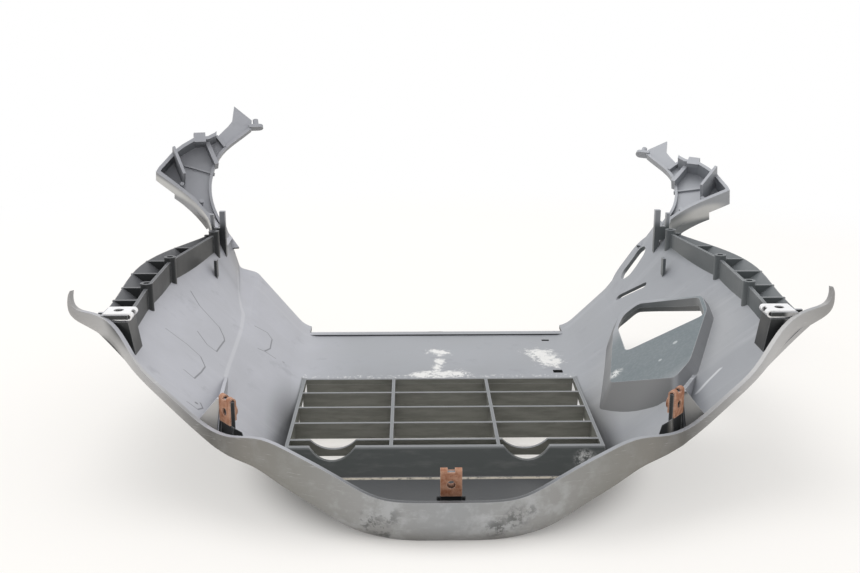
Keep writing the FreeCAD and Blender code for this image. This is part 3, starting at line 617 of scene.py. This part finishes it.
def wall_marks(surface, colour):
    """Fine moulding lines, dots, a painted highlight on the crease ridge and a scratch on the side walls."""
    tree = surface.tree
    upward = span(tree, surface.normal_z, *MARK_TILT)
    on_left = times(tree, span(tree, surface.x, *LEFT_WALL_X), upward)
    on_right = times(tree, span(tree, surface.x, *RIGHT_WALL_X), upward)
    # Painted highlight along the crease ridge.
    crease = times(tree, line_mask(surface, CREASE_LINE, CREASE_WIDTH), on_left)
    colour = mix(tree, times(tree, crease, CREASE_HIGHLIGHT_STRENGTH), colour, CREASE_HIGHLIGHT_COLOUR)
    scratch = times(tree, line_mask(surface, RIGHT_SCRATCH, RIGHT_SCRATCH_WIDTH), on_right)
    colour = mix(tree, times(tree, scratch, RIGHT_SCRATCH_STRENGTH), colour, RIGHT_SCRATCH_COLOUR)
    lines = [line_mask(surface, points, LEFT_LINE_WIDTH) for points in LEFT_LINES]
    marks = times(tree, most(tree, lines + [patches(surface, LEFT_DOTS, DOT_CORE)]), on_left)
    return mix(tree, times(tree, marks, LEFT_MARK_STRENGTH), colour, LEFT_MARK_COLOUR)


def scuff_colour(surface, colour):
    """Ragged whitish scuffs on the floor behind the grille."""
    tree = surface.tree
    paths = [path_mask(tree, surface.place, points, reach, SCUFF_CORE) for points, reach in FLOOR_SCUFFS]
    rubbed = most(tree, paths)
    grains = noise(tree, surface.place, *SCUFF_NOISE)
    ragged = span(tree, math_node(tree, "ADD", times(tree, rubbed, SCUFF_WEIGHT), grains), *SCUFF_LEVEL)
    scuffs = times(tree, ragged, span(tree, rubbed, *SCUFF_EDGE), span(tree, surface.normal_z, *SCUFF_TILT))
    return mix(tree, scuffs, colour, SCUFF_COLOUR)


def grille_colour(surface, colour):
    """Olive slats, grey rib tops, a dark front plate with a scuff and painted light along its foot, and
    flakes at the back.
    """
    tree = surface.tree
    smear = noise(tree, stretched(tree, surface.place, SMEAR_STRETCH), *SMEAR_NOISE)
    slat = mix(tree, span(tree, smear, *SLAT_SMEAR), SLAT_DARK, SLAT_PALE)
    rib = mix(tree, span(tree, surface.normal_z, *RIB_TOP_TILT), slat, RIB_TOP_COLOUR)
    colour = mix(tree, box_mask(surface, GRILLE_BOX), colour, rib)
    plate = mix(tree, span(tree, smear, *PLATE_SMEAR), PLATE_DARK, PLATE_PALE)
    fine = noise(tree, surface.place, *FLAKE_NOISE)
    scuff = near_point(surface, PLATE_SCUFF, PLATE_SCUFF_RADIUS)
    scuff = times(tree, scuff, span(tree, fine, *PLATE_SCUFF_LEVEL))
    plate = mix(tree, scuff, plate, PLATE_SCUFF_COLOUR)
    colour = mix(tree, box_mask(surface, PLATE_BOX), colour, plate)
    # Painted light from the gap under the plate's foot.
    foot = box_mask(surface, PLATE_FOOT_BOX, PLATE_FOOT_SOFT)
    foot = times(tree, foot, span(tree, fine, *PLATE_FOOT_LEVEL))
    colour = mix(tree, foot, colour, PLATE_FOOT_LIGHT_COLOUR)
    flakes = times(tree, box_mask(surface, GRILLE_BACK_BOX), span(tree, fine, *FLAKE_LEVEL))
    return mix(tree, times(tree, flakes, FLAKE_STRENGTH), colour, FLAKE_COLOUR)


def lip_colour(surface, colour):
    """Worn outer face of the near lip, with pale scratches, dark stains and a painted shade along its foot.
    """
    tree = surface.tree
    bow = math_node(tree, "POWER", math_node(tree, "DIVIDE", surface.from_middle, LIP_REACH), 2.0)
    line = math_node(tree, "ADD", times(tree, bow, LIP_BOW), LIP_FRONT)
    behind = math_node(tree, "SUBTRACT", surface.y, line)
    on_lip = times(tree, span(tree, behind, *LIP_DEPTH), span(tree, surface.normal_y, *LIP_TILT))
    worn = ramp(tree, surface.from_middle, LIP_TONES, LIP_TONE_END)
    mottle = span(tree, noise(tree, surface.place, *MOTTLE_NOISE), *MOTTLE_LEVEL)
    mottle = times(tree, mottle, span(tree, surface.from_middle, *MOTTLE_REACH))
    worn = mix(tree, mottle, worn, MOTTLE_COLOUR)
    # Painted shade, brown, darker towards the lip's foot.
    worn = mix(tree, span(tree, surface.z, *LIP_FOOT_Z), worn, LIP_FOOT_SHADE_COLOUR)
    scratches = noise(tree, stretched(tree, surface.place, LIP_SCRATCH_STRETCH), *LIP_SCRATCH_NOISE)
    worn = mix(tree, span(tree, scratches, *LIP_SCRATCH_LEVEL), worn, LIP_SCRATCH_COLOUR)
    ragged = span(tree, noise(tree, surface.place, *LIP_STAIN_NOISE), *LIP_STAIN_LEVEL)
    stains = times(tree, patches(surface, LIP_STAINS), ragged)
    worn = mix(tree, times(tree, stains, LIP_STAIN_STRENGTH), worn, LIP_STAIN_COLOUR)
    return mix(tree, on_lip, colour, worn)


def edge_colour(surface, colour):
    """Pale edges, partly worn and partly a painted highlight, stronger near the vent pod."""
    tree = surface.tree
    # Painted highlight along the pod's rim, on top of worn edges elsewhere.
    wear_and_highlight = span(tree, near_point(surface, POD_MIDDLE, POD_RADIUS, POD_CORE), *EDGE_WEAR_AND_HIGHLIGHT)
    edges = edge_mask(tree, surface.normal, EDGE_RADIUS, EDGE_RANGE)
    return mix(tree, times(tree, edges, wear_and_highlight), colour, EDGE_COLOUR)


def plastic_material():
    """Satin black moulded plastic, greyed by a dusting and painted sheen on its upward faces, with painted
    light and shade in places, scuffed on the lip and the floor.
    """
    material, tree, shader = new_material("dusty_sheened_black_plastic")
    surface = Surface(tree)
    colour = dusty_sheened_plastic(surface)
    for layer in (
        pod_colour,
        web_colour,
        arm_colour,
        wall_marks,
        scuff_colour,
        grille_colour,
        lip_colour,
        edge_colour,
    ):
        colour = layer(surface, colour)
    tree.links.new(colour, shader.inputs["Base Color"])
    tree.links.new(span(tree, surface.cloud, *CLOUD_ROUGHNESS), shader.inputs["Roughness"])
    roughen(tree, shader, noise(tree, surface.place, *GRAIN_NOISE), GRAIN_STRENGTH, GRAIN_DEPTH)
    return material


def rust_material():
    """Spring steel with brown and orange surface rust, and a painted highlight along its edges."""
    material, tree, shader = new_material("rusty_spring_steel")
    place = add(tree, "TexCoord").outputs["Object"]
    normal = add(tree, "NewGeometry").outputs["Normal"]
    patchy = noise(tree, place, *RUST_NOISE)
    pits = noise(tree, place, *PIT_NOISE)
    colour = mix(tree, span(tree, patchy, *RUST_LEVEL), RUST_DARK, RUST_PALE)
    colour = mix(tree, span(tree, pits, *PIT_LEVEL), colour, PIT_COLOUR)
    # Painted highlight along the clip's edges.
    edges = edge_mask(tree, normal, RUST_EDGE_RADIUS, RUST_EDGE_RANGE)
    colour = mix(tree, edges, colour, RUST_EDGE_HIGHLIGHT_COLOUR)
    tree.links.new(colour, shader.inputs["Base Color"])
    tree.links.new(span(tree, patchy, *RUST_ROUGHNESS), shader.inputs["Roughness"])
    roughen(tree, shader, pits, PIT_STRENGTH, PIT_DEPTH)
    return material


def plated_material():
    """Bright plated spring steel with faint grey staining."""
    material, tree, shader = new_material("bright_plated_steel")
    place = add(tree, "TexCoord").outputs["Object"]
    stain = noise(tree, place, *PLATING_NOISE)
    grain = noise(tree, stretched(tree, place, BRUSH_STRETCH), *BRUSH_NOISE)
    colour = mix(tree, span(tree, stain, *PLATING_LEVEL), PLATING_BRIGHT, PLATING_STAIN)
    tree.links.new(colour, shader.inputs["Base Color"])
    shader.inputs["Metallic"].default_value = PLATING_METALLIC
    tree.links.new(span(tree, stain, *PLATING_ROUGHNESS), shader.inputs["Roughness"])
    roughen(tree, shader, grain, BRUSH_STRENGTH, BRUSH_DEPTH)
    return material


def table_material():
    """Plain pale table top that keeps the object's shadow, lifted near the object by a warm painted glow, and
    turns to plain white further out.
    """
    material, tree, shader = new_material("pale_table")
    place = add(tree, "TexCoord").outputs["Object"]
    colour = mix(tree, noise(tree, place, *TABLE_NOISE), TABLE_DARK, TABLE_PALE)
    tree.links.new(colour, shader.inputs["Base Color"])
    shader.inputs["Roughness"].default_value = TABLE_ROUGHNESS
    distance = add(tree, "VectorMath", {"operation": "LENGTH"}, i0=place).outputs["Value"]
    seen = add(tree, "LightPath").outputs["Is Camera Ray"]
    from_grille = vector_node(tree, "DISTANCE", place, GRILLE_MIDDLE).outputs["Value"]
    # Painted glow that lifts the shadow outside the grille.
    lightest = span(tree, from_grille, *SHADE_RANGE)
    plain = times(tree, most(tree, [span(tree, distance, *WHITE_RANGE), lightest]), seen)
    tint = mix(tree, span(tree, distance, *TINT_RANGE), TINT_NEAR, TINT_FAR)
    white = add(tree, "Emission", Color=tint, Strength=1.0)
    blend = add(tree, "MixShader", i0=plain, i1=shader.outputs[0], i2=white.outputs[0])
    output = next(node for node in tree.nodes if node.type == "OUTPUT_MATERIAL")
    tree.links.new(blend.outputs[0], output.inputs[0])
    return material


def dress(node, material):
    """Give one node of the frame its material."""
    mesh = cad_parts[node].data
    mesh.materials.clear()
    mesh.materials.append(material)


def make_floor():
    """Table top under the part."""
    mesh = bpy.data.meshes.new("table")
    reach = TABLE_REACH
    corners = [(-reach, -reach, 0), (reach, -reach, 0), (reach, reach, 0), (-reach, reach, 0)]
    mesh.from_pydata(corners, [], [(0, 1, 2, 3)])
    floor = bpy.data.objects.new("table", mesh)
    floor.data.materials.append(table_material())
    bpy.context.collection.objects.link(floor)


def make_world():
    """Soft white studio, a little dimmer behind the camera."""
    world = bpy.data.worlds.new("studio")
    bpy.context.scene.world = world
    world.use_nodes = True
    tree = world.node_tree
    tree.nodes.clear()
    direction = add(tree, "SeparateXYZ", Vector=add(tree, "TexCoord").outputs["Generated"])
    level = span(tree, direction.outputs[1], *SKY_STRENGTH)
    seen = add(tree, "LightPath").outputs["Is Camera Ray"]
    strength = math_node(tree, "MAXIMUM", level, seen)
    background = add(tree, "Background", Color=(1, 1, 1, 1), Strength=strength)
    output = add(tree, "OutputWorld")
    tree.links.new(background.outputs[0], output.inputs[0])


def make_lamp():
    """Large round lamp over the part, turned to its target."""
    data = bpy.data.lights.new("overhead", "AREA")
    data.shape = "DISK"
    data.size = LAMP_SIZE
    data.energy = LAMP_POWER
    lamp = bpy.data.objects.new("overhead", data)
    lamp.location = LAMP_PLACE
    towards = [b - a for a, b in zip(LAMP_PLACE, LAMP_TARGET)]
    flat = math.hypot(towards[0], towards[1])
    lamp.rotation_euler = (math.atan2(flat, -towards[2]), 0, math.atan2(-towards[0], towards[1]))
    bpy.context.collection.objects.link(lamp)


def make_camera():
    """Camera of the photograph."""
    data = bpy.data.cameras.new("camera")
    data.sensor_width = SENSOR
    data.lens = SENSOR * FOCAL_PIXELS / IMAGE_WIDTH
    camera = bpy.data.objects.new("camera", data)
    camera.location = CAMERA_PLACE
    camera.rotation_euler = (math.radians(90 - CAMERA_PITCH), 0, math.radians(-CAMERA_YAW))
    bpy.context.collection.objects.link(camera)
    bpy.context.scene.camera = camera


dress("lower_panel", plastic_material())
dress("front_clip_nuts", rust_material())
dress("side_clip_nuts", plated_material())
make_floor()
make_world()
make_lamp()
make_camera()
bpy.context.scene.view_settings.view_transform = "Standard"
